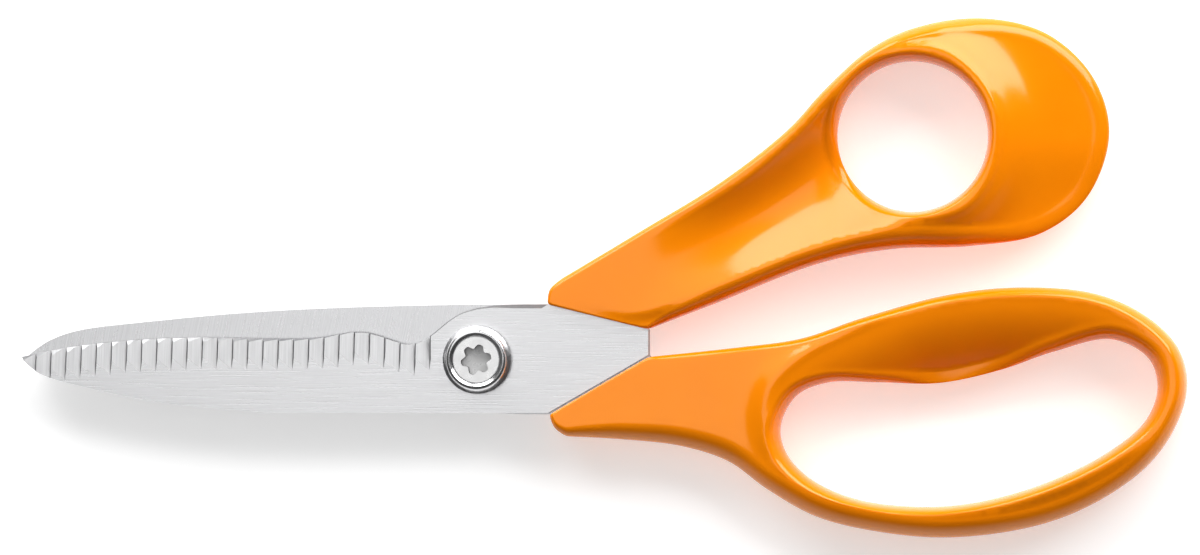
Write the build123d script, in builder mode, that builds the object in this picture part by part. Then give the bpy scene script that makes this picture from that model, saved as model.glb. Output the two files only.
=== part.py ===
from build123d import *
from math import cos, radians, sin
import os

os.makedirs("parts", exist_ok=True)

# Pinking shears, closed, lying on their side. Millimetres.
# The origin is on the pivot axis, on the plane that the shears rest on.
# The blades point to -X, the thumb handle is on the +Y side, and +Z is up, away from the rest plane.

# Blades
BLADE_THICKNESS = 3.0
MID_PLANE = 7.0
BLADE_GAP = 0.1
FRONT_FACE = MID_PLANE + BLADE_THICKNESS
BACK_FACE = MID_PLANE - BLADE_THICKNESS
INNER_RELIEF = 0.9
BOSS_RADIUS = 9.3
TIP_X = -91.2

# Teeth, the same pitch on the meshing inner faces and on the fluted outer faces
TOOTH_PITCH = 3.03
TOOTH_COUNT = 27
TOOTH_AMPLITUDE = 0.6
TOOTH_BAND = 6.5
TIP_LAND = 0.3
FLUTE_DEPTH = 1.7
FLUTE_STEP = 0.6
FLUTE_WALL = 0.3
FLUTE_SLOPE = 15
EDGE_BEVEL_DEPTH = 1.95
EDGE_BEVEL_WIDTH = 0.8

# Pivot
SLEEVE_RADIUS = 3.5
PIVOT_PLAY = 0.05
SCREW_RADIUS = 2.5
SCREW_HEAD_RADIUS = 4.7
SCREW_HEAD_HEIGHT = 1.95
SCREW_HEAD_CHAMFER = 0.2
HEAD_PLAY = 0.1
SCREW_END = 1.2
COLLAR_RADIUS = 6.8
COLLAR_HEIGHT = 3.9
COLLAR_POCKET_RADIUS = 5.2
COLLAR_POCKET_DEPTH = 0.9
COLLAR_FLOOR = 0.65
COLLAR_BORE = 2.6
COLLAR_WALL = 1.2
COLLAR_SHOULDER = (0.6, 0.7)
COLLAR_LIP = 0.3
SOCKET_RADIUS = 3.05
SOCKET_WAIST = 2.2
SOCKET_DEPTH = 1.5
SOCKET_TURN = 13
NUT_RADIUS = 6.5
NUT_ROUNDING = 1.6
BEARING_RADIUS = 6.0
BEARING_THICKNESS = 0.5
SPRING_THICKNESS = 0.4

# Handles
THUMB_TOP = 14.6
FINGER_TOP = 13.6
THUMB_ROUNDING = 2.0
FINGER_ROUNDING = 2.5
THUMB_HOLE = (85.9, 44.0)
THUMB_HOLE_RADIUS = 14.8
ANCHOR_HOLE_RADIUS = 2.2
FRONT_ANCHORS = [(30.0, 18.5), (42.5, 24.0)]
REAR_ANCHORS = [(44.0, -7.5), (51.0, -7.0)]
STOP_PLAY = 0.1

# Corners where the blades' metal meets the handles
NOSE = (14.0, 10.9)
CROTCH_TOP = (33.8, 6.0)
CROTCH_BOTTOM = (33.8, 0.8)
HEEL = (14.0, -10.9)

# The front blade's cutting edge, from the tip to the pivot boss. It swells just ahead of the boss, and
# dips where the toothed length ends. The rear blade's is the same edge, flipped over.
EDGE_POINTS = [
    (TIP_X, 0.4),
    (-82.4, 2.2),
    (-70.2, 3.6),
    (-55.3, 4.3),
    (-37.0, 4.1),
    (-30.6, 4.5),
    (-23.4, 5.4),
    (-17.0, 3.7),
    (-13.3, 2.95),
    (-9.6, 4.6),
    (-4.2, 8.7),
    (2.0, 10.5),
    (9.2, 10.9),
]
FRONT_SPINE = [(TIP_X, 0.4), (-88.2, -2.4), (-81.5, -4.8), (-64.4, -8.4), (-41.0, -10.6)]
REAR_SPINE = [(TIP_X, -0.4), (-85.2, 4.0), (-72.0, 6.8), (-49.2, 9.0), (-21.7, 10.4), (8.0, 10.9)]
FRONT_TANG = [(36.0, 11.0), (51.5, 24.5), (48.5, 30.5), (44.5, 29.5), (17.5, 13.0), NOSE]
REAR_TANG = [(36.5, -1.8), (55.0, -1.5), (56.0, -12.0), (40.0, -13.4), (18.0, -12.4), HEEL]

THUMB_OUTLINE = [
    (48.2, 35.6),
    (61.5, 45.7),
    (77.3, 61.2),
    (86.2, 65.5),
    (99.5, 67.4),
    (112.5, 64.3),
    (121.5, 55.5),
    (124.6, 44.5),
    (120.0, 32.3),
    (111.0, 25.2),
    (97.3, 22.6),
    (81.9, 21.9),
    (67.6, 19.0),
    (47.6, 11.3),
    CROTCH_TOP,
]
FINGER_OUTLINE = [
    (17.5, -15.0),
    (28.0, -15.6),
    (40.4, -17.0),
    (49.6, -20.2),
    (57.1, -25.6),
    (66.6, -30.9),
    (77.9, -33.8),
    (93.2, -35.1),
    (110.4, -32.7),
    (122.4, -27.9),
    (132.6, -20.4),
    (138.1, -12.1),
    (139.9, -4.6),
    (138.1, 2.4),
    (132.0, 8.5),
    (122.4, 12.9),
    (108.7, 14.3),
    (93.4, 12.9),
    (76.2, 8.3),
    (64.0, 4.2),
    (51.4, 2.4),
    CROTCH_BOTTOM,
]
FINGER_HOLE = [
    (59.9, -13.3),
    (62.9, -7.3),
    (69.0, -4.6),
    (79.0, -4.5),
    (91.2, -4.6),
    (103.3, -2.0),
    (113.8, 1.6),
    (125.1, 4.0),
    (132.3, 0.2),
    (134.0, -5.5),
    (131.8, -11.8),
    (124.9, -17.8),
    (112.2, -24.2),
    (99.0, -28.0),
    (88.0, -29.0),
    (75.0, -27.6),
    (65.8, -23.6),
    (61.0, -18.5),
]


def flipped(points):
    """The same points on the other side of the XZ plane."""
    return [(x, -y) for x, y in points]


def edge_side(points):
    """+1 for a cutting edge on the +Y side of its blade, -1 for one on the -Y side."""
    return 1 if points[0][1] > 0 else -1


def edge_height(points, x):
    """Y of the cutting edge at one X, by straight lines between its points."""
    for (x0, y0), (x1, y1) in zip(points, points[1:]):
        if x <= x1:
            return y0 + (y1 - y0) * (x - x0) / (x1 - x0)
    return points[-1][1]


def edge_tangents(points):
    """Directions of the cutting edge at the tip and at the boss."""
    side = edge_side(points)
    return [(1, 0.25 * side), (1, 0.05 * side)]


def toothed_band(points, spine, corners, outward):
    """Meshing teeth along a cutting edge: a strip inside the edge, cut to rings about the pivot.

    outward is +1 for the front blade and -1 for the rear one.
    """
    side = edge_side(points)
    inner = [(x, side * max(abs(y) - TOOTH_BAND, TIP_LAND - abs(y))) for x, y in points]
    floor = outward * (INNER_RELIEF + 0.1)
    roof = outward * BLADE_GAP / 2
    zigzag = [(BOSS_RADIUS, MID_PLANE + floor)]
    for step in range(2 * TOOTH_COUNT + 3):
        swing = TOOTH_AMPLITUDE if step % 2 else -TOOTH_AMPLITUDE
        zigzag.append((BOSS_RADIUS + step * TOOTH_PITCH / 2, MID_PLANE + roof + swing))
    zigzag.append((zigzag[-1][0], MID_PLANE + floor))
    with BuildPart() as band:
        with BuildSketch(Plane.XY.offset(MID_PLANE - 2 * INNER_RELIEF)):
            with BuildLine():
                outer = Spline(*points, tangents=edge_tangents(points))
                Line(outer @ 1, inner[-1])
                Spline(*inner[::-1])
                Line(inner[0], outer @ 0)
            make_face()
        extrude(amount=4 * INNER_RELIEF)
        extrude(blade_plan(points, spine, corners, MID_PLANE - 2 * INNER_RELIEF), amount=4 * INNER_RELIEF,
                mode=Mode.INTERSECT)
        split(bisect_by=Plane.YZ.offset(1 - BOSS_RADIUS), keep=Keep.BOTTOM)
        with BuildSketch(Plane.XZ):
            with BuildLine():
                Polyline(*zigzag, close=True)
            make_face()
        revolve(axis=Axis.Z, mode=Mode.INTERSECT)
    return band.part


def flutes(points, outward):
    """The sawtooth gaps across an outer face. Each rises away from the cutting edge and runs out."""
    side = edge_side(points)
    face = MID_PLANE + outward * BLADE_THICKNESS
    lean = radians(FLUTE_SLOPE)
    with BuildPart() as gaps:
        for tooth in range(TOOTH_COUNT):
            right = -BOSS_RADIUS - TOOTH_PITCH * tooth
            y = edge_height(points, right - TOOTH_PITCH / 2)
            start = (right, y + side, face - outward * (FLUTE_DEPTH + sin(lean)))
            along = (0, -side * cos(lean), outward * sin(lean))
            flute = Plane(origin=start, x_dir=(-1, 0, 0), z_dir=along)
            up = 1 if flute.y_dir.Z * outward > 0 else -1
            with BuildSketch(flute):
                with BuildLine():
                    Polyline(
                        (0, up * FLUTE_STEP),
                        (FLUTE_WALL, 0),
                        (TOOTH_PITCH, up * FLUTE_STEP),
                        (TOOTH_PITCH, up * 2 * FLUTE_DEPTH),
                        (0, up * 2 * FLUTE_DEPTH),
                        close=True,
                    )
                make_face()
            extrude(amount=2 * TOOTH_BAND, mode=Mode.ADD)
    return gaps.part


def blade_plan(points, spine, corners, height):
    """Plan of a whole blade: cutting edge, tang with its anchoring tongue, and spine."""
    with BuildSketch(Plane.XY.offset(height)) as plan:
        with BuildLine():
            edge = Spline(*points, tangents=edge_tangents(points))
            back = Spline(*spine)
            Polyline(edge @ 1, *corners, back @ 1)
        make_face()
    return plan.sketch


def flat_land(height):
    """Plan of a blade's flat inner land: the boss around the pivot, and the tang behind it."""
    with BuildSketch(Plane.XY.offset(height)) as land:
        Circle(BOSS_RADIUS)
        with Locations((40, 0)):
            Rectangle(80, 90)
    return land.sketch


def long_rims(handle):
    """The curved rims of a handle's outline and loop, top and bottom, without its short end edges."""
    return handle.edges().filter_by(lambda edge: edge.length > 60)


def lobed_loop():
    """Points round the screw's six-lobed socket: three on each lobe and one in each waist."""
    points = []
    for lobe in range(6):
        for swing, radius in ((-10, 0.97 * SOCKET_RADIUS), (0, SOCKET_RADIUS), (10, 0.97 * SOCKET_RADIUS),
                              (30, SOCKET_WAIST)):
            angle = radians(SOCKET_TURN + 60 * lobe + swing)
            points.append((radius * cos(angle), radius * sin(angle)))
    return points


def upper_edge_bevel(blade, points, outward):
    """The corner of the cutting edge on the outer face, and the outer face itself."""
    face = MID_PLANE + outward * BLADE_THICKNESS
    curves = blade.edges().filter_by(GeomType.BSPLINE).filter_by_position(Axis.Z, face - 0.01, face + 0.01)
    flat = blade.faces().filter_by(Axis.Z).sort_by(Axis.Z)[-1 if outward > 0 else 0]
    return curves.sort_by_distance((*points[3], face))[0], flat


# Front blade: the thumb handle's, with its cutting edge on the +Y side
front_corners = [
    (NOSE[0] - 0.2, NOSE[1]),
    *FRONT_TANG[::-1],
    CROTCH_TOP,
    (CROTCH_BOTTOM[0], CROTCH_BOTTOM[1] + STOP_PLAY),
    (HEEL[0] - STOP_PLAY, FRONT_SPINE[-1][1]),
]
front_teeth = toothed_band(EDGE_POINTS, FRONT_SPINE, front_corners, 1)
front_flutes = flutes(EDGE_POINTS, 1)
with BuildPart() as front_blade:
    extrude(blade_plan(EDGE_POINTS, FRONT_SPINE, front_corners, MID_PLANE + BLADE_GAP / 2), amount=INNER_RELIEF)
    extrude(flat_land(MID_PLANE), amount=INNER_RELIEF, mode=Mode.INTERSECT)
    extrude(
        blade_plan(EDGE_POINTS, FRONT_SPINE, front_corners, MID_PLANE + INNER_RELIEF),
        amount=BLADE_THICKNESS - INNER_RELIEF,
    )
    front_corner, front_flat = upper_edge_bevel(front_blade, EDGE_POINTS, 1)
    chamfer(front_corner, length=EDGE_BEVEL_WIDTH, length2=EDGE_BEVEL_DEPTH, reference=front_flat)
    add(front_teeth)
    add(front_flutes, mode=Mode.SUBTRACT)
    with Locations((0, 0, FRONT_FACE)):
        Hole(SLEEVE_RADIUS + PIVOT_PLAY)
    with BuildSketch(Plane.XY.offset(MID_PLANE)):
        Circle(BEARING_RADIUS + PIVOT_PLAY)
    extrude(amount=BEARING_THICKNESS / 2 + PIVOT_PLAY / 2, mode=Mode.SUBTRACT)
    with Locations(*[(x, y, FRONT_FACE) for x, y in FRONT_ANCHORS]):
        Hole(ANCHOR_HOLE_RADIUS)

# Rear blade: the finger handle's, with its cutting edge on the -Y side
rear_edge = flipped(EDGE_POINTS)
rear_corners = [
    (HEEL[0] - 0.2, HEEL[1]),
    *REAR_TANG[::-1],
    CROTCH_BOTTOM,
    (CROTCH_TOP[0], CROTCH_TOP[1] - STOP_PLAY),
    (NOSE[0] - 0.2, NOSE[1] - STOP_PLAY),
]
rear_teeth = toothed_band(rear_edge, REAR_SPINE, rear_corners, -1)
rear_flutes = flutes(rear_edge, -1)
with BuildPart() as rear_blade:
    extrude(blade_plan(rear_edge, REAR_SPINE, rear_corners, MID_PLANE - INNER_RELIEF),
            amount=INNER_RELIEF - BLADE_GAP / 2)
    extrude(flat_land(MID_PLANE - INNER_RELIEF), amount=INNER_RELIEF, mode=Mode.INTERSECT)
    extrude(blade_plan(rear_edge, REAR_SPINE, rear_corners, BACK_FACE), amount=BLADE_THICKNESS - INNER_RELIEF)
    rear_corner, rear_flat = upper_edge_bevel(rear_blade, rear_edge, -1)
    chamfer(rear_corner, length=EDGE_BEVEL_WIDTH, length2=EDGE_BEVEL_DEPTH, reference=rear_flat)
    add(rear_teeth)
    add(rear_flutes, mode=Mode.SUBTRACT)
    with Locations((0, 0, MID_PLANE)):
        Hole(SLEEVE_RADIUS)
    with BuildSketch(Plane.XY.offset(MID_PLANE - BEARING_THICKNESS / 2)):
        Circle(BEARING_RADIUS + PIVOT_PLAY)
    extrude(amount=BEARING_THICKNESS / 2, mode=Mode.SUBTRACT)
    with Locations(*[(x, y, MID_PLANE) for x, y in REAR_ANCHORS]):
        Hole(ANCHOR_HOLE_RADIUS)

# Thumb handle, moulded over the front blade's tongue
with BuildPart() as thumb_handle:
    with BuildSketch():
        with BuildLine():
            Line((16.4, 16.2), THUMB_OUTLINE[0])
            Spline(*THUMB_OUTLINE, tangents=[(0.81, 0.58), (-0.93, -0.37)])
            Line(CROTCH_TOP, NOSE)
            Spline(NOSE, (14.4, 14.0), (16.4, 16.2))
        make_face()
    extrude(amount=THUMB_TOP)
    with Locations((*THUMB_HOLE, THUMB_TOP)):
        Hole(THUMB_HOLE_RADIUS)
    fillet(long_rims(thumb_handle), radius=THUMB_ROUNDING)

# Finger handle, moulded over the rear blade's tongue
with BuildPart() as finger_handle:
    with BuildSketch():
        with BuildLine():
            Spline(HEEL, (15.2, -13.4), FINGER_OUTLINE[0])
            Spline(*FINGER_OUTLINE)
            Line(CROTCH_BOTTOM, HEEL)
        make_face()
    extrude(amount=FINGER_TOP)
    with BuildSketch():
        with BuildLine():
            Spline(*FINGER_HOLE, periodic=True)
        make_face()
    extrude(amount=FINGER_TOP, mode=Mode.SUBTRACT)
    fillet(long_rims(finger_handle), radius=FINGER_ROUNDING)

# Pivot nut: a flange with a flat underside, and the sleeve that both blades turn on
sleeve_top = FRONT_FACE + PIVOT_PLAY + COLLAR_POCKET_DEPTH
with BuildPart() as pivot_nut:
    with BuildSketch():
        Circle(NUT_RADIUS)
    extrude(amount=BACK_FACE)
    fillet(pivot_nut.edges().sort_by(Axis.Z)[0], radius=NUT_ROUNDING)
    with BuildSketch(Plane.XY.offset(BACK_FACE)):
        Circle(SLEEVE_RADIUS)
    extrude(amount=sleeve_top - BACK_FACE)
    with BuildSketch(Plane.XY.offset(SCREW_END)):
        Circle(SCREW_RADIUS)
    extrude(amount=sleeve_top, mode=Mode.SUBTRACT)

# Collar: a domed ring that holds the screw's head and presses the spring washer on the front blade
collar_base = FRONT_FACE + PIVOT_PLAY
head_seat = sleeve_top + COLLAR_FLOOR
collar_top = FRONT_FACE + COLLAR_HEIGHT
with BuildPart() as screw_collar:
    with BuildSketch(Plane.XZ):
        with BuildLine():
            Polyline(
                (COLLAR_BORE, head_seat),
                (COLLAR_BORE, sleeve_top),
                (COLLAR_POCKET_RADIUS, sleeve_top),
                (COLLAR_POCKET_RADIUS, collar_base),
                (COLLAR_RADIUS, collar_base),
                (COLLAR_RADIUS, collar_base + COLLAR_WALL),
            )
            Spline(
                (COLLAR_RADIUS, collar_base + COLLAR_WALL),
                (COLLAR_RADIUS - COLLAR_SHOULDER[0], collar_top - COLLAR_SHOULDER[1]),
                (SCREW_HEAD_RADIUS + COLLAR_SHOULDER[0], collar_top),
                tangents=[(0, 1), (-1, 0)],
            )
            Polyline(
                (SCREW_HEAD_RADIUS + COLLAR_SHOULDER[0], collar_top),
                (SCREW_HEAD_RADIUS + HEAD_PLAY, collar_top - COLLAR_LIP),
                (SCREW_HEAD_RADIUS + HEAD_PLAY, head_seat),
                (COLLAR_BORE, head_seat),
            )
        make_face()
    revolve(axis=Axis.Z)

# Screw: a flat head with a six-lobed socket, and a shank that reaches into the nut
with BuildPart() as pivot_screw:
    with BuildSketch(Plane.XY.offset(SCREW_END)):
        Circle(SCREW_RADIUS)
    extrude(amount=head_seat - SCREW_END)
    with BuildSketch(Plane.XY.offset(head_seat)):
        Circle(SCREW_HEAD_RADIUS)
    extrude(amount=SCREW_HEAD_HEIGHT)
    chamfer(pivot_screw.edges().sort_by(Axis.Z)[-1], length=SCREW_HEAD_CHAMFER)
    with BuildSketch(Plane.XY.offset(head_seat + SCREW_HEAD_HEIGHT)):
        with BuildLine():
            Spline(*lobed_loop(), periodic=True)
        make_face()
    extrude(amount=-SOCKET_DEPTH, mode=Mode.SUBTRACT)

# Spring washer: a shallow cone pressed between the collar and the front blade
spring_low = FRONT_FACE + PIVOT_PLAY / 2
with BuildPart() as spring_washer:
    with BuildSketch(Plane.XZ):
        with BuildLine():
            Polyline(
                (SLEEVE_RADIUS + 0.1, sleeve_top - SPRING_THICKNESS),
                (SLEEVE_RADIUS + 0.1, sleeve_top),
                (COLLAR_POCKET_RADIUS - 0.1, spring_low + SPRING_THICKNESS),
                (COLLAR_POCKET_RADIUS - 0.1, spring_low),
                close=True,
            )
        make_face()
    revolve(axis=Axis.Z)

# Bearing washer: thin, in shallow recesses between the two blades
with BuildPart() as bearing_washer:
    with BuildSketch(Plane.XY.offset(MID_PLANE - BEARING_THICKNESS / 2)):
        Circle(BEARING_RADIUS)
        Circle(SLEEVE_RADIUS, mode=Mode.SUBTRACT)
    extrude(amount=BEARING_THICKNESS)

# Each handle is moulded round its blade's tongue and fills the anchoring holes.
with BuildPart() as thumb_moulding:
    add(thumb_handle.part)
    add(front_blade.part, mode=Mode.SUBTRACT)

with BuildPart() as finger_moulding:
    add(finger_handle.part)
    add(rear_blade.part, mode=Mode.SUBTRACT)

pieces = {
    "front_blade": front_blade,
    "rear_blade": rear_blade,
    "thumb_handle": thumb_moulding,
    "finger_handle": finger_moulding,
    "pivot_nut": pivot_nut,
    "pivot_screw": pivot_screw,
    "screw_collar": screw_collar,
    "spring_washer": spring_washer,
    "bearing_washer": bearing_washer,
}
for name, piece in pieces.items():
    piece.part.label = name
    export_step(piece.part, f"parts/{name}.step")
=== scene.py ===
import math

import bpy
import numpy as np
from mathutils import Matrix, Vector
from mathutils.geometry import delaunay_2d_cdt


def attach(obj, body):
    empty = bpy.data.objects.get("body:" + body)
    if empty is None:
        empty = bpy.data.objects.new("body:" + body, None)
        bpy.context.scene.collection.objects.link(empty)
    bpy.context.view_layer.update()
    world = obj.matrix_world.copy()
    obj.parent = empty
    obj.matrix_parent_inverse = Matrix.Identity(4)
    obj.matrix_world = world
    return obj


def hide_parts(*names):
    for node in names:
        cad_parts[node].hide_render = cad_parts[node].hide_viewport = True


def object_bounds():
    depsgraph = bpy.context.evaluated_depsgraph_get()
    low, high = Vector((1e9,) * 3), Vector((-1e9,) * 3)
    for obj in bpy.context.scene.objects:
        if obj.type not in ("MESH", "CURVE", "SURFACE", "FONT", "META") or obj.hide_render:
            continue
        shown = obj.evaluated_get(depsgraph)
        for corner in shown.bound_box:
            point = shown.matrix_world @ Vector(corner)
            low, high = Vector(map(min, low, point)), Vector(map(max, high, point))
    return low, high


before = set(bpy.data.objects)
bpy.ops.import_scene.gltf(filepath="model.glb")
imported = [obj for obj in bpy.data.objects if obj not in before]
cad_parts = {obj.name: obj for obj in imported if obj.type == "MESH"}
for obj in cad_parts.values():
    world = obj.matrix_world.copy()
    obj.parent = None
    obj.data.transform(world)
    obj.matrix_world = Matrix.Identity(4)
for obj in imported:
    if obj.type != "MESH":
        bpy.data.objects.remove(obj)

# Pinking shears lying closed on a pale floor. The handles' shapes are given in millimetres and their meshes
# are made in metres. Materials, lights, floor and camera are in metres.
cad_low, cad_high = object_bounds()
MM = 0.001
MID = 7.0  # height of the plane between the two blades, about which the handles' undersides are mirrored


# ---------------------------------------------------------------- curves in the plan

def spline(points, spacing=0.4, closed=False):
    """Points along a smooth curve through the given ones, evenly spaced."""
    p = np.array(points, float)
    count = len(p)
    if closed:
        p = np.vstack([p[-1], p, p[0], p[1]])
    else:
        p = np.vstack([2 * p[0] - p[1], p, 2 * p[-1] - p[-2]])
        count -= 1
    out = []
    for i in range(count):
        a, b, c, d = p[i:i + 4]
        knots = [0.0]
        for start, end in ((a, b), (b, c), (c, d)):
            knots.append(knots[-1] + math.sqrt(np.linalg.norm(end - start)) + 1e-9)
        t0, t1, t2, t3 = knots
        t = np.linspace(t1, t2, 40, endpoint=False)[:, None]
        ab = (t1 - t) / (t1 - t0) * a + (t - t0) / (t1 - t0) * b
        bc = (t2 - t) / (t2 - t1) * b + (t - t1) / (t2 - t1) * c
        cd = (t3 - t) / (t3 - t2) * c + (t - t2) / (t3 - t2) * d
        abc = (t2 - t) / (t2 - t0) * ab + (t - t0) / (t2 - t0) * bc
        bcd = (t3 - t) / (t3 - t1) * bc + (t - t1) / (t3 - t1) * cd
        out.append((t2 - t) / (t2 - t1) * abc + (t - t1) / (t2 - t1) * bcd)
    if not closed:
        out.append(p[-2][None])
    return resample(np.vstack(out), spacing, closed)


def resample(points, spacing, closed):
    """The same line with evenly spaced points."""
    line = np.vstack([points, points[:1]]) if closed else points
    run = np.concatenate([[0], np.cumsum(np.linalg.norm(np.diff(line, axis=0), axis=1))])
    steps = max(2, int(round(run[-1] / spacing)))
    at = np.linspace(0, run[-1], steps + 1)
    if closed:
        at = at[:-1]
    return np.column_stack([np.interp(at, run, line[:, k]) for k in (0, 1)])


def outline(sections, spacing=0.4, softening=3):
    """A closed loop of smooth stretches that meet in slightly softened corners, anticlockwise."""
    loop = np.vstack([spline(section, spacing)[:-1] for section in sections])
    loop = resample(loop, spacing, True)
    for _ in range(softening):
        loop = (np.roll(loop, 1, 0) + 2 * loop + np.roll(loop, -1, 0)) / 4
    x, y = loop.T
    area = np.sum(x * np.roll(y, -1) - y * np.roll(x, -1))
    return loop if area > 0 else loop[::-1]


def left_normals(loop):
    """Unit normals on the left of the direction of travel: inward, on an anticlockwise loop."""
    way = np.roll(loop, -2, 0) - np.roll(loop, 2, 0)
    normal = np.column_stack([-way[:, 1], way[:, 0]])
    return normal / np.linalg.norm(normal, axis=1)[:, None]


def distance(points, line, closed=True):
    """Distance from each point to a line."""
    a, b = (line, np.roll(line, -1, 0)) if closed else (line[:-1], line[1:])
    ab = b - a
    length2 = (ab ** 2).sum(1)
    best = np.empty(len(points))
    for start in range(0, len(points), 2000):
        p = points[start:start + 2000, None, :]
        t = np.clip(((p - a) * ab).sum(2) / length2, 0, 1)
        best[start:start + 2000] = np.sqrt(((p - a - t[..., None] * ab) ** 2).sum(2)).min(1)
    return best


def inside(points, loop):
    """Which points a closed loop holds."""
    a, b = loop, np.roll(loop, -1, 0)
    held = np.zeros(len(points), bool)
    for start in range(0, len(points), 2000):
        x, y = points[start:start + 2000].T[:, :, None]
        spans = (a[:, 1] > y) != (b[:, 1] > y)
        rise = np.where(b[:, 1] == a[:, 1], 1e-12, b[:, 1] - a[:, 1])
        cross = x < (b[:, 0] - a[:, 0]) * (y - a[:, 1]) / rise + a[:, 0]
        held[start:start + 2000] = (spans & cross).sum(1) % 2 == 1
    return held


def signed_distance(points, loop):
    """Distance to a closed loop, positive inside it."""
    return np.where(inside(points, loop), 1, -1) * distance(points, loop)


def along_loop(loop, anchors, softening=25):
    """Values given at some places of a closed loop, spread smoothly over all of it."""
    rows = []
    for x, y, *values in anchors:
        rows.append((int(np.argmin(((loop - (x, y)) ** 2).sum(1))), *values))
    rows.sort()
    at = np.array([r[0] for r in rows], float)
    n = len(loop)
    at = np.concatenate([at - n, at, at + n])
    columns = []
    for k in range(1, len(rows[0])):
        v = np.tile([r[k] for r in rows], 3)
        column = np.interp(np.arange(n), at, v)
        for _ in range(softening):
            column = (np.roll(column, 1) + 2 * column + np.roll(column, -1)) / 4
        columns.append(column)
    return columns


def smoothstep(low, high, value):
    """0 below low, 1 above high, and a smooth rise between them."""
    t = np.clip((value - low) / (high - low), 0, 1)
    return t * t * (3 - 2 * t)


# ---------------------------------------------------------------- moulded handles

ROUND_STEPS = 12  # steps in each rim's rounding
LATTICE = 0.75  # spacing of the mesh points on the faces
JITTER = 0.04  # keeps lattice points from sharing exact circles, which upsets the triangulation
LEAST_WALL = 0.15  # height of the plain wall that is left below every rounding


def reached(triangles, rim_count, fences):
    """The triangles that can be walked to from an inner point without stepping over a fence."""
    fences = {tuple(sorted(edge)) for edge in fences}
    sides = {}
    for index, (a, b, c) in enumerate(triangles):
        for edge in ((a, b), (b, c), (c, a)):
            sides.setdefault(tuple(sorted(edge)), []).append(index)
    found = set(np.nonzero((triangles >= rim_count).any(1))[0].tolist())
    waiting = list(found)
    while waiting:
        a, b, c = triangles[waiting.pop()]
        for edge in ((a, b), (b, c), (c, a)):
            key = tuple(sorted(edge))
            for other in () if key in fences else sides[key]:
                if other not in found:
                    found.add(other)
                    waiting.append(other)
    return triangles[sorted(found)]


def moulding(name, outer, hole, height, outer_round, hole_round, thickest):
    """A handle with a loop: its top face follows height, the bottom mirrors it, and every rim is rounded.

    outer_round and hole_round give each point of the loop a rounding across and a rounding down.
    """
    across_out, down_out = along_loop(outer, outer_round)
    across_in, = along_loop(hole, hole_round)
    inward = left_normals(outer)
    outward = -left_normals(hole)
    inner_out = outer + inward * across_out[:, None]
    inner_in = hole + outward * across_in[:, None]
    rim_out = height(inner_out)
    rim_in = height(inner_in)
    down_out = np.minimum(down_out, rim_out - MID - LEAST_WALL)
    down_in = rim_in - MID - LEAST_WALL

    verts, rings = [], []
    total = 0

    def add_ring(xy, z):
        """Adds one loop of points round a rim."""
        nonlocal total
        verts.append(np.column_stack([xy, z]))
        rings.append(np.arange(total, total + len(xy)))
        total += len(xy)

    angles = np.linspace(0, math.pi / 2, ROUND_STEPS + 1)
    for base, normal, across, rim, down in (
        (outer, inward, across_out, rim_out, down_out),
        (hole, outward, across_in, rim_in, down_in),
    ):
        for a in angles:
            add_ring(base + normal * (across * (1 - math.cos(a)))[:, None], rim - down * (1 - math.sin(a)))
    out_rings, in_rings = rings[:ROUND_STEPS + 1], rings[ROUND_STEPS + 1:]

    low, high = outer.min(0), outer.max(0)
    xs = np.arange(low[0], high[0], LATTICE)
    ys = np.arange(low[1], high[1], LATTICE * math.sqrt(3) / 2)
    grid = np.array([(x + (LATTICE / 2 if j % 2 else 0), y) for j, y in enumerate(ys) for x in xs])
    grid = grid[inside(grid, inner_out) & ~inside(grid, inner_in)]
    clear = np.minimum(distance(grid, inner_out), distance(grid, inner_in)) > LATTICE * 0.6
    grid = grid[clear]
    grid += np.random.default_rng(1).uniform(-JITTER, JITTER, grid.shape)
    flat = np.vstack([inner_out, inner_in, grid])
    n_out, n_in = len(inner_out), len(inner_in)
    edges = [(i, (i + 1) % n_out) for i in range(n_out)]
    edges += [(n_out + i, n_out + (i + 1) % n_in) for i in range(n_in)]
    _, _, triangles, originals, _, _ = delaunay_2d_cdt([Vector(p) for p in flat], edges, [], 0, 1e-5)
    index_of = [o[0] if o else -1 for o in originals]
    triangles = np.array([[index_of[i] for i in t] for t in triangles])
    triangles = reached(triangles[(triangles >= 0).all(1)], n_out + n_in, edges)

    grid_start = total
    verts.append(np.column_stack([grid, height(grid)]))
    total += len(grid)
    lookup = np.concatenate([out_rings[-1], in_rings[-1], np.arange(grid_start, total)])

    top = np.vstack(verts)
    bottom = top.copy()
    bottom[:, 2] = MID - (top[:, 2] - MID) * MID / (thickest - MID)
    faces = []

    def band(a, b, flip):
        """Adds the faces between two loops."""
        n = len(a)
        for i in range(n):
            j = (i + 1) % n
            quad = (a[i], a[j], b[j], b[i])
            faces.append(quad[::-1] if flip else quad)

    for level in range(ROUND_STEPS):
        band(out_rings[level], out_rings[level + 1], False)
        band(in_rings[level], in_rings[level + 1], True)
    for t in lookup[triangles]:
        faces.append(tuple(t))
    faces += [tuple(total + i for i in reversed(face)) for face in faces]
    band(total + out_rings[0], out_rings[0], False)
    band(total + in_rings[0], in_rings[0], True)
    points = np.vstack([top, bottom]) * MM
    points = np.clip(points, np.array(cad_low), np.array(cad_high))
    return mesh_object(name, points, faces)


def mesh_object(name, points, faces):
    """A smoothly shaded mesh object in the scene, from points in metres."""
    mesh = bpy.data.meshes.new(name)
    mesh.from_pydata([tuple(map(float, p)) for p in points], [], [tuple(map(int, f)) for f in faces])
    mesh.validate()
    mesh.update()
    mesh.shade_smooth()
    piece = bpy.data.objects.new(name, mesh)
    bpy.context.scene.collection.objects.link(piece)
    return piece


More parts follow.
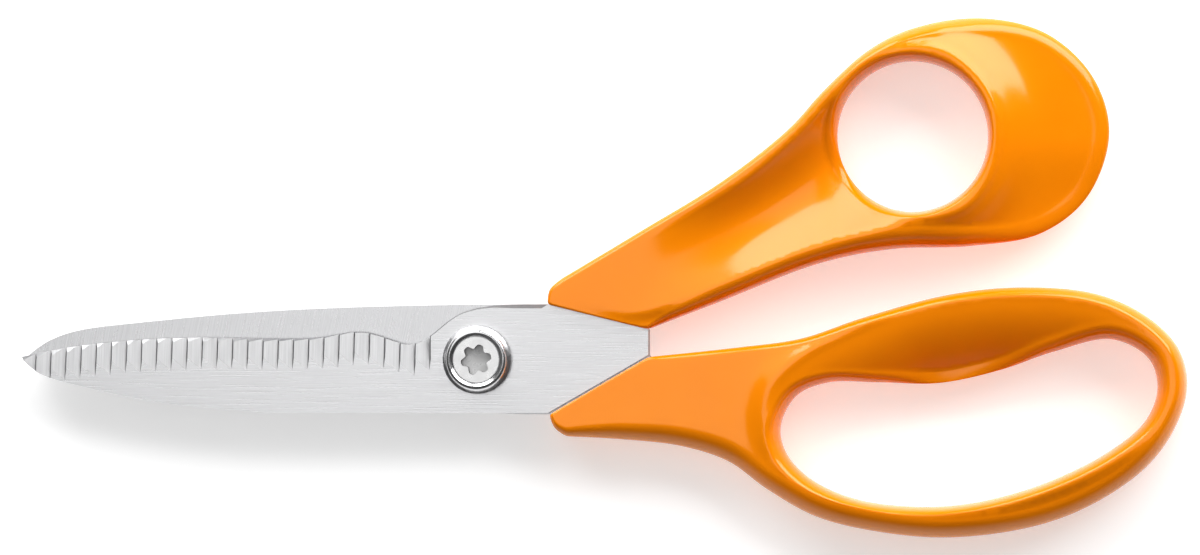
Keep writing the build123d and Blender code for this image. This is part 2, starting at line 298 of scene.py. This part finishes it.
# Corners where the blades' metal meets the handles
NOSE = (14.0, 10.9)
CROTCH_TOP = (33.8, 6.0)
CROTCH_BOTTOM = (33.9, 0.5)
HEEL = (14.3, -10.9)

THUMB_OUTER = outline([
    [NOSE, (14.4, 13.8), (16.6, 15.9)],
    [(16.6, 15.9), (32.3, 25.3), (48.5, 35.2), (61.6, 45.5), (68.7, 53.3), (77.4, 61.1), (86.2, 65.4),
     (99.5, 67.35), (112.4, 64.2), (121.5, 55.5), (124.6, 44.5), (120.3, 32.1), (111.2, 24.9),
     (97.3, 22.4), (81.9, 21.8), (67.6, 19.0), (47.6, 11.3), CROTCH_TOP],
    [CROTCH_TOP, NOSE],
])
THUMB_HOLE_CENTRE = np.array([85.9, 44.0])
THUMB_HOLE_RADIUS = 14.8
THUMB_HOLE = np.array([
    THUMB_HOLE_CENTRE + THUMB_HOLE_RADIUS * np.array([math.cos(a), math.sin(a)])
    for a in np.linspace(0, 2 * math.pi, 240, endpoint=False)
])
THUMB_CREST = spline([
    (17.6, 14.0), (24.6, 19.2), (34.6, 25.1), (44.4, 30.9), (52.3, 35.8), (59.2, 41.2), (64.2, 45.9),
    (69.1, 51.3), (73.9, 56.4), (78.2, 59.6), (86.2, 61.3), (92.9, 60.0), (98.8, 55.0), (101.8, 49.5),
    (102.4, 44.6), (101.8, 39.6), (99.8, 34.5), (96.3, 30.5), (91.5, 28.5), (86.7, 27.7), (83.2, 26.5),
    (76.3, 24.0), (70.1, 22.0), (64.2, 20.2), (56.3, 17.4), (48.3, 14.3), (37.6, 10.6), (29.6, 9.4),
], closed=True)

FINGER_OUTER = outline([
    [HEEL, (15.3, -13.5), (17.5, -15.2)],
    [(17.5, -15.2), (28.0, -15.8), (40.4, -17.2), (49.6, -20.2), (57.1, -25.6), (66.6, -30.9),
     (77.9, -33.8), (93.2, -35.1), (110.4, -32.7), (122.4, -27.9), (132.6, -20.4), (138.1, -12.1),
     (139.9, -4.6), (138.1, 2.4), (132.0, 8.5), (122.4, 12.9), (108.7, 14.3), (93.4, 12.9), (76.2, 8.3),
     (64.0, 4.2), (51.4, 2.4), CROTCH_BOTTOM],
    [CROTCH_BOTTOM, HEEL],
])
FINGER_HOLE = spline([
    (59.9, -13.3), (61.0, -18.5), (65.8, -23.6), (75.0, -27.6), (88.0, -29.0), (99.0, -28.0),
    (112.2, -24.2), (124.9, -17.8), (131.8, -11.8), (134.0, -5.5), (132.3, 0.2), (125.1, 4.0),
    (113.8, 1.6), (103.3, -2.0), (91.2, -4.6), (79.0, -4.5), (69.0, -4.6), (62.9, -7.3),
], closed=True)
FINGER_CREST = spline([
    (76.1, 6.7), (84.0, 10.1), (93.9, 12.1), (100.6, 13.0), (109.1, 13.2), (116.1, 12.9), (122.8, 11.7),
    (127.9, 9.7), (132.5, 6.7), (135.6, 3.0), (137.0, -1.0), (137.2, -5.0), (136.6, -8.2),
    (134.9, -12.1), (131.5, -15.9), (125.6, -19.9), (119.4, -23.1), (112.7, -25.8), (104.2, -28.6),
    (93.7, -30.3), (86.0, -30.5), (78.4, -29.8), (72.7, -28.4), (66.2, -25.3), (61.8, -21.2),
    (58.8, -17.0), (57.2, -12.9), (57.0, -8.9), (58.4, -5.0), (61.4, -1.6), (66.2, 2.0), (71.1, 4.4),
], closed=True)

# Heights of each handle's top face: where it leaves the metal, and at its highest
THUMB_NECK, THUMB_TOP = 13.0, 14.3
FINGER_NECK, FINGER_TOP = 12.2, 13.4

# Thumb handle: the dish along the arm, the funnel where it meets the hole, the lobe's fall outside the crest,
# and the small steps down on either side of the crest that make it read as a ridge
DISH_DEPTH = 4.6
FUNNEL_DEPTH, FUNNEL_LENGTH, FUNNEL_EDGE = 2.6, 3.2, 1.8
LOBE_FALL, LOBE_EXTRA_FALL, LOBE_REACH, LOBE_SLOPE = 2.6, 1.3, 5.5, 0.15
THUMB_OUTER_STEP, THUMB_INNER_STEP = 0.9, 0.35
# Finger handle: how fast the rest curves down to the hole, and the steps down on either side of the crest
REST_CURVE = 0.031
VALLEY_DEPTH, VALLEY_WIDTH = 1.2, 3.2
FINGER_OUTER_STEP, FINGER_INNER_STEP = 0.8, 0.3
OUTER_STEP_WIDTH, INNER_STEP_WIDTH = 1.3, 0.9
THINNEST = 0.6  # least height of a top face above the middle plane

# The side of the hole that the arm's dish runs down into
FUNNEL_SIDE = np.array([math.cos(math.radians(20)), math.sin(math.radians(20))])
THUMB_UPPER_CREST = spline([
    (17.6, 14.0), (34.6, 25.1), (52.3, 35.8), (64.2, 45.9), (73.9, 56.4), (78.2, 59.6), (86.2, 61.3),
])
THUMB_LOWER_CREST = spline([
    (29.6, 9.4), (37.6, 10.6), (48.3, 14.3), (64.2, 20.2), (76.3, 24.0), (86.7, 27.7), (96.3, 30.5),
])


def settled(way, width):
    """0 at the start of a way and 1 once it is well past the width."""
    return 1 - np.exp(-(np.maximum(way, 0) / width) ** 2)


def thumb_height(p):
    """Top face of the thumb handle: a ridge round the dish and the hole, with a flared lobe outside it."""
    x, y = p.T
    ridge = signed_distance(p, THUMB_CREST)
    crest = THUMB_NECK + (THUMB_TOP - THUMB_NECK) * smoothstep(26, 78, x)
    upper = distance(p, THUMB_UPPER_CREST, closed=False)
    lower = distance(p, THUMB_LOWER_CREST, closed=False)
    across = upper / (upper + lower + 1e-6)
    bowl = np.sin(math.pi * across ** 0.8) ** 1.4
    along = smoothstep(30, 66, x) * (1 - smoothstep(70, 82, x))
    dish = DISH_DEPTH * along * bowl * smoothstep(0, 1.5, ridge)
    away = p - THUMB_HOLE_CENTRE
    reach = np.linalg.norm(away, axis=1)
    towards = smoothstep(0.1, 0.95, -(away @ FUNNEL_SIDE) / reach)
    near = np.exp(-np.maximum(reach - THUMB_HOLE_RADIUS, 0) / FUNNEL_LENGTH)
    funnel = FUNNEL_DEPTH * near * towards * settled(ridge, FUNNEL_EDGE)
    out = np.maximum(-ridge, 0)
    fall = LOBE_FALL + LOBE_EXTRA_FALL * (1 - smoothstep(28, 44, y))
    flare = fall * settled(out, LOBE_REACH) + LOBE_SLOPE * np.maximum(out - 3, 0)
    shoulder = THUMB_OUTER_STEP * settled(out, OUTER_STEP_WIDTH) * smoothstep(18, 40, x)
    shoulder += THUMB_INNER_STEP * settled(ridge, INNER_STEP_WIDTH) * smoothstep(66, 76, x)
    return np.maximum(crest - dish - funnel - shoulder - flare * smoothstep(70, 95, x), MID + THINNEST)


def finger_height(p):
    """Top face of the finger handle: a ridge round the hole, sloping in to it on the finger rest's side."""
    x = p[:, 0]
    ridge = signed_distance(p, FINGER_CREST)
    crest = FINGER_NECK + (FINGER_TOP - FINGER_NECK) * smoothstep(42, 62, x)
    rest = REST_CURVE * np.maximum(ridge, 0) ** 2
    out = np.maximum(-ridge, 0)
    valley = VALLEY_DEPTH * settled(out, VALLEY_WIDTH) * smoothstep(44, 60, x)
    shoulder = FINGER_OUTER_STEP * settled(out, OUTER_STEP_WIDTH) * smoothstep(56, 70, x)
    shoulder += FINGER_INNER_STEP * settled(ridge, INNER_STEP_WIDTH) * smoothstep(50, 60, x)
    return crest - rest - valley - shoulder


thumb_handle = moulding(
    "thumb_handle_moulding", THUMB_OUTER, THUMB_HOLE, thumb_height,
    outer_round=[
        (14.0, 10.9, 0.5, 0.5), (16.4, 16.2, 1.0, 1.6), (32.0, 25.7, 1.1, 1.8), (48.2, 35.6, 1.2, 2.0),
        (64.0, 48.5, 1.3, 3.0), (74.0, 58.6, 1.4, 4.0), (86.0, 65.5, 2.6, 4.5), (99.5, 67.4, 3.4, 4.5),
        (117.0, 61.0, 3.4, 4.0), (124.6, 44.5, 3.4, 3.6), (117.0, 30.0, 3.4, 3.6),
        (104.0, 23.3, 3.6, 3.6), (88.0, 22.1, 4.6, 5.5), (77.0, 21.3, 3.6, 6.0), (67.6, 19.0, 3.2, 5.0),
        (47.6, 11.3, 3.0, 4.5), (37.0, 7.2, 2.0, 3.5), (33.4, 6.1, 0.5, 0.5), (24.0, 8.5, 0.35, 0.35),
    ],
    hole_round=[
        (100.7, 44.0, 1.3), (93.3, 56.8, 1.7), (85.9, 58.8, 2.0), (75.8, 54.8, 2.3), (71.1, 44.0, 2.6),
        (77.4, 31.9, 2.0), (85.9, 29.2, 1.4), (93.3, 31.2, 1.2), (98.7, 36.6, 1.2),
    ],
    thickest=THUMB_TOP,
)
finger_handle = moulding(
    "finger_handle_moulding", FINGER_OUTER, FINGER_HOLE, finger_height,
    outer_round=[
        (14.0, -10.9, 0.5, 0.5), (17.5, -15.0, 2.0, 2.5), (28.0, -15.6, 3.5, 4.5), (45.0, -18.0, 4.4, 5.5),
        (57.1, -25.6, 4.4, 6.0), (77.9, -33.8, 4.2, 6.0), (93.2, -35.1, 4.2, 6.0), (117.0, -30.3, 4.1, 6.0),
        (132.6, -20.4, 3.5, 6.0), (139.0, -9.0, 2.6, 6.0), (139.9, -4.0, 2.3, 6.0), (136.0, 5.0, 2.2, 5.0),
        (127.0, 11.2, 2.0, 4.0), (108.7, 14.3, 1.8, 4.0), (85.0, 11.3, 1.6, 3.5), (66.6, 4.9, 1.3, 2.5),
        (51.4, 2.4, 1.1, 1.6), (37.0, 1.1, 1.0, 1.2), (33.6, 0.7, 0.5, 0.5), (24.0, -5.0, 0.3, 0.3),
    ],
    hole_round=[
        (59.9, -13.3, 3.0), (62.9, -7.3, 3.0), (69.0, -4.6, 2.5), (79.0, -4.5, 2.4), (91.2, -4.6, 2.4),
        (103.3, -2.0, 2.4), (113.8, 1.6, 3.2), (125.1, 4.0, 3.4), (132.3, 0.2, 3.0), (134.0, -5.5, 2.5),
        (131.8, -11.8, 2.1), (124.9, -17.8, 1.8), (112.2, -24.2, 1.6), (93.2, -28.8, 1.5),
        (75.0, -27.6, 1.6), (65.8, -23.6, 2.2), (61.0, -18.5, 2.8),
    ],
    thickest=FINGER_TOP,
)


# ---------------------------------------------------------------- materials

def material(name):
    """A new material, its node tree and its Principled shader."""
    new = bpy.data.materials.new(name)
    new.use_nodes = True
    tree = new.node_tree
    return new, tree, tree.nodes["Principled BSDF"]


def link_noise(tree, scale, stretch=(1, 1, 1), detail=4.0, turn=0.0):
    """Noise in the object's own space, stretched and turned."""
    place = tree.nodes.new("ShaderNodeTexCoord")
    mapping = tree.nodes.new("ShaderNodeMapping")
    mapping.vector_type = "TEXTURE"
    mapping.inputs["Scale"].default_value = [1 / s for s in stretch]
    mapping.inputs["Rotation"].default_value = (0, 0, turn)
    noise = tree.nodes.new("ShaderNodeTexNoise")
    noise.inputs["Scale"].default_value = scale
    noise.inputs["Detail"].default_value = detail
    tree.links.new(place.outputs["Object"], mapping.inputs["Vector"])
    tree.links.new(mapping.outputs["Vector"], noise.inputs["Vector"])
    return noise


def ramp(tree, source, low, high):
    """Maps a 0 to 1 value onto two numbers or colours."""
    node = tree.nodes.new("ShaderNodeMapRange")
    node.inputs["From Min"].default_value = 0.3
    node.inputs["From Max"].default_value = 0.7
    node.inputs["To Min"].default_value = low
    node.inputs["To Max"].default_value = high
    tree.links.new(source, node.inputs["Value"])
    return node.outputs["Result"]


def blend_colours(tree, factor, first, second):
    """A colour between two plain ones."""
    node = tree.nodes.new("ShaderNodeMix")
    node.data_type = "RGBA"
    node.inputs["A"].default_value = (*first, 1)
    node.inputs["B"].default_value = (*second, 1)
    tree.links.new(factor, node.inputs["Factor"])
    return node.outputs["Result"]


def bump(tree, height, strength, depth):
    """A surface direction roughened by a height."""
    node = tree.nodes.new("ShaderNodeBump")
    node.inputs["Strength"].default_value = strength
    node.inputs["Distance"].default_value = depth
    tree.links.new(height, node.inputs["Height"])
    return node.outputs["Normal"]


def orange_plastic():
    """Glossy moulded plastic with a faint cloud, a smeared gloss and a fine orange peel."""
    new, tree, shader = material("orange_plastic")
    cloud = link_noise(tree, 60, detail=3)
    factor = ramp(tree, cloud.outputs["Fac"], 0, 1)
    colour = blend_colours(tree, factor, (0.88, 0.255, 0.0), (0.92, 0.273, 0.001))
    tree.links.new(colour, shader.inputs["Base Color"])
    shader.inputs["IOR"].default_value = 1.5
    smear = link_noise(tree, 180, detail=5)
    tree.links.new(ramp(tree, smear.outputs["Fac"], 0.13, 0.19), shader.inputs["Roughness"])
    peel = link_noise(tree, 900, detail=2)
    tree.links.new(bump(tree, peel.outputs["Fac"], 0.03, 0.0002), shader.inputs["Normal"])
    return new


def washer_plastic():
    """Pale grey moulded plastic with a faint cloud and a fine grain."""
    new, tree, shader = material("washer_plastic")
    cloud = link_noise(tree, 400, detail=4)
    factor = ramp(tree, cloud.outputs["Fac"], 0, 1)
    colour = blend_colours(tree, factor, (0.60, 0.60, 0.58), (0.68, 0.68, 0.66))
    tree.links.new(colour, shader.inputs["Base Color"])
    tree.links.new(ramp(tree, cloud.outputs["Fac"], 0.35, 0.5), shader.inputs["Roughness"])
    return new


def spread(tree, source, start, end, low=0.0, high=1.0):
    """Maps the range from start to end onto low to high."""
    node = tree.nodes.new("ShaderNodeMapRange")
    for name, value in zip(("From Min", "From Max", "To Min", "To Max"), (start, end, low, high)):
        node.inputs[name].default_value = value
    tree.links.new(source, node.inputs["Value"])
    return node.outputs["Result"]


def absolute(tree, source):
    """A value without its sign."""
    node = tree.nodes.new("ShaderNodeMath")
    node.operation = "ABSOLUTE"
    tree.links.new(source, node.inputs[0])
    return node.outputs["Value"]


def mix(tree, factor, first, second, kind="FLOAT"):
    """Mixes two sockets, or a socket and a plain colour."""
    node = tree.nodes.new("ShaderNodeMix")
    node.data_type = kind
    tree.links.new(factor, node.inputs["Factor"])
    for name, value in (("A", first), ("B", second)):
        socket = next(i for i in node.inputs if i.name == name and i.type == {"FLOAT": "VALUE"}.get(kind, kind))
        if isinstance(value, bpy.types.NodeSocket):
            tree.links.new(value, socket)
        else:
            socket.default_value = (*value, 1)
    return next(o for o in node.outputs if o.type == {"FLOAT": "VALUE"}.get(kind, kind))


def facing(tree):
    """The three parts of the surface's direction in the object's own space."""
    place = tree.nodes.new("ShaderNodeTexCoord")
    split = tree.nodes.new("ShaderNodeSeparateXYZ")
    tree.links.new(place.outputs["Normal"], split.inputs["Vector"])
    return split.outputs


GROUND_STEEL = (0.36, 0.36, 0.365), (0.44, 0.44, 0.445)
# Painted shade: the dark grey base colour given to the blades' steep faces, such as the flute walls and edge
# bevels.
PAINTED_WALL_SHADE = (0.20, 0.20, 0.205)


def brushed_steel(name, turn, dark, light):
    """Steel brushed one way on its flats and ground the other way on its flutes, with painted shade on its
    steep faces.
    """
    new, tree, shader = material(name)
    flat = link_noise(tree, 80, stretch=(1, 50, 50), detail=6, turn=turn)
    ground = link_noise(tree, 80, stretch=(40, 1, 1), detail=5)
    way = facing(tree)
    slope = absolute(tree, way["Y"])
    flute = spread(tree, slope, 0.05, 0.15)
    # Painted shade: faces that tilt steeply away from the flat take the dark grey base colour.
    wall_shade_mask = spread(tree, absolute(tree, way["Z"]), 0.75, 0.5)
    grain = mix(tree, flute, flat.outputs["Fac"], ground.outputs["Fac"])
    colour = blend_colours(tree, ramp(tree, grain, 0, 1), dark, light)
    ground_colour = blend_colours(tree, ramp(tree, grain, 0, 1), *GROUND_STEEL)
    colour = mix(tree, flute, colour, ground_colour, "RGBA")
    colour = mix(tree, wall_shade_mask, colour, PAINTED_WALL_SHADE, "RGBA")
    tree.links.new(colour, shader.inputs["Base Color"])
    shader.inputs["Metallic"].default_value = 1
    rough = mix(tree, flute, ramp(tree, grain, 0.25, 0.36), ramp(tree, grain, 0.42, 0.52))
    tree.links.new(rough, shader.inputs["Roughness"])
    tree.links.new(bump(tree, grain, 0.15, 0.0001), shader.inputs["Normal"])
    return new


def polished_metal(name, tint, low, high, socket=None):
    """Polished metal with a faint haze. In a socket it turns a darker, less metallic grey towards the floor,
    partly painted shade and partly a matte floor that takes the lamps' shadows, and its steep walls are painted
    near black as shade.
    """
    new, tree, shader = material(name)
    shader.inputs["Metallic"].default_value = 1.0
    haze = link_noise(tree, 700, detail=6)
    colour = blend_colours(tree, ramp(tree, haze.outputs["Fac"], 0, 1), [t * 0.93 for t in tint], tint)
    if socket:
        place = tree.nodes.new("ShaderNodeTexCoord")
        split = tree.nodes.new("ShaderNodeSeparateXYZ")
        tree.links.new(place.outputs["Object"], split.inputs["Vector"])
        floor_z, mouth_z = socket
        # Painted shade deepening into the socket; the floor is also made less metallic so that real shadows
        # show on it.
        socket_depth_shade = spread(tree, split.outputs["Z"], mouth_z, floor_z)
        colour = mix(tree, socket_depth_shade, colour, (0.55, 0.55, 0.55), "RGBA")
        metal = spread(tree, split.outputs["Z"], floor_z, mouth_z, 0.25, 1.0)
        tree.links.new(metal, shader.inputs["Metallic"])
        # Painted shade: the socket's steep walls take a near black base colour.
        socket_wall_shade = spread(tree, facing(tree)["Z"], 0.5, 0.1)
        colour = mix(tree, socket_wall_shade, colour, (0.08, 0.08, 0.08), "RGBA")
    tree.links.new(colour, shader.inputs["Base Color"])
    tree.links.new(ramp(tree, haze.outputs["Fac"], low, high), shader.inputs["Roughness"])
    return new


def paint(piece, finish):
    """Gives one of this script's own pieces its material."""
    piece.data.materials.clear()
    piece.data.materials.append(finish)


plastic = orange_plastic()
paint(thumb_handle, plastic)
paint(finger_handle, plastic)
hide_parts("thumb_handle")
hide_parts("finger_handle")
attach(thumb_handle, "thumb_side")
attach(finger_handle, "finger_side")


SOCKET_HEIGHTS = (0.0124, 0.0134)  # the screw's socket, from its floor to its mouth


def repaint(node, finish):
    """Gives a CAD node's object a better material."""
    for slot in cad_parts[node].material_slots:
        slot.material = finish


# The front blade is brushed along its length and the rear one nearly across it.
front_steel = brushed_steel("front_blade_steel", 0.0, (0.64, 0.64, 0.65), (0.76, 0.76, 0.77))
rear_steel = brushed_steel("rear_blade_steel", math.radians(78), (0.58, 0.58, 0.59), (0.72, 0.72, 0.73))
washer_steel = polished_metal("washer_steel", (0.66, 0.66, 0.66), 0.28, 0.38)
bearing_plastic = washer_plastic()
chrome = polished_metal("pivot_chrome", (0.74, 0.74, 0.75), 0.20, 0.28)
screw_steel = polished_metal("screw_steel", (0.74, 0.74, 0.74), 0.25, 0.34, SOCKET_HEIGHTS)
for node, finish in (
    ("front_blade", front_steel), ("rear_blade", rear_steel), ("spring_washer", washer_steel),
    ("bearing_washer", bearing_plastic), ("screw_collar", chrome), ("pivot_nut", chrome),
    ("pivot_screw", screw_steel),
):
    repaint(node, finish)


# ---------------------------------------------------------------- floor, light and camera

FLOOR_SIZE, FLOOR_CELLS = 24.0, 24
FLOOR_GLOW, FAR_FLOOR_GLOW = 0.42, 0.95


def floor():
    """A pale sweep of floor under the shears that glows, faintly near them and more strongly far off, so that
    its shadows stay pale.
    """
    n = FLOOR_CELLS
    ticks = [FLOOR_SIZE * (i / n - 0.5) for i in range(n + 1)]
    points = [(x, y, cad_low[2]) for y in ticks for x in ticks]
    faces = [(j * (n + 1) + i, j * (n + 1) + i + 1, (j + 1) * (n + 1) + i + 1, (j + 1) * (n + 1) + i)
             for j in range(n) for i in range(n)]
    piece = mesh_object("floor", points, faces)
    new, tree, shader = material("pale_floor")
    grain = link_noise(tree, 25, detail=3)
    colour = blend_colours(tree, ramp(tree, grain.outputs["Fac"], 0, 1), (0.75, 0.75, 0.75), (0.77, 0.77, 0.77))
    tree.links.new(colour, shader.inputs["Base Color"])
    shader.inputs["Roughness"].default_value = 0.7
    place = tree.nodes.new("ShaderNodeTexCoord")
    length = tree.nodes.new("ShaderNodeVectorMath")
    length.operation = "LENGTH"
    tree.links.new(place.outputs["Object"], length.inputs[0])
    shader.inputs["Emission Color"].default_value = (1, 1, 1, 1)
    glow = spread(tree, length.outputs["Value"], 0.25, 1.2, FLOOR_GLOW, FAR_FLOOR_GLOW)
    tree.links.new(glow, shader.inputs["Emission Strength"])
    paint(piece, new)


def softbox(name, place, aim, size, radiance):
    """A rectangular lamp that faces its aim and looks as bright as radiance."""
    lamp = bpy.data.lights.new(name, "AREA")
    lamp.shape = "RECTANGLE"
    lamp.size, lamp.size_y = size
    lamp.energy = radiance * math.pi * size[0] * size[1]
    holder = bpy.data.objects.new(name, lamp)
    holder.location = place
    holder.rotation_euler = (Vector(aim) - Vector(place)).to_track_quat("-Z", "Y").to_euler()
    bpy.context.scene.collection.objects.link(holder)


def main_camera():
    """Almost straight down on the shears, from slightly towards the handles."""
    centre = Vector((0.0242, 0.0162, 0.009))
    yaw = math.radians(4)
    lens, sensor, width = 200.0, 36.0, 0.2372
    reach = width * lens / sensor
    data = bpy.data.cameras.new("main_camera")
    data.lens = lens
    data.sensor_width = sensor
    camera = bpy.data.objects.new("main_camera", data)
    camera.location = centre + reach * Vector((math.sin(yaw), 0, math.cos(yaw)))
    camera.rotation_euler = (0, yaw, 0)
    bpy.context.scene.collection.objects.link(camera)
    bpy.context.scene.camera = camera


HORIZON_GLOW, OVERHEAD_GLOW = 0.7, 0.06


def studio_world():
    """Pale round the horizon and dim overhead, where the softboxes give the light."""
    world = bpy.data.worlds.new("studio")
    world.use_nodes = True
    tree = world.node_tree
    place = tree.nodes.new("ShaderNodeTexCoord")
    split = tree.nodes.new("ShaderNodeSeparateXYZ")
    tree.links.new(place.outputs["Generated"], split.inputs["Vector"])
    glow = spread(tree, split.outputs["Z"], 0.06, 0.4, HORIZON_GLOW, OVERHEAD_GLOW)
    tree.links.new(glow, tree.nodes["Background"].inputs["Strength"])
    tree.nodes["Background"].inputs["Color"].default_value = (1, 1, 1, 1)
    bpy.context.scene.world = world


MIDDLE = (0.024, 0.016, 0.007)  # of the shears
BOX_RADIANCE, CEILING_RADIANCE = 5.2, 1.2
floor()
softbox("right_box", (0.50, 0.70, 0.51), MIDDLE, (0.85, 0.65), BOX_RADIANCE)
softbox("left_box", (-0.33, 0.78, 0.51), MIDDLE, (0.58, 0.65), BOX_RADIANCE)
softbox("ceiling", (-0.22, 0.30, 1.2), (-0.08, 0.1, 0), (0.62, 1.1), CEILING_RADIANCE)
studio_world()
bpy.context.scene.view_settings.view_transform = "Standard"
bpy.context.scene.view_settings.look = "Medium High Contrast"
main_camera()
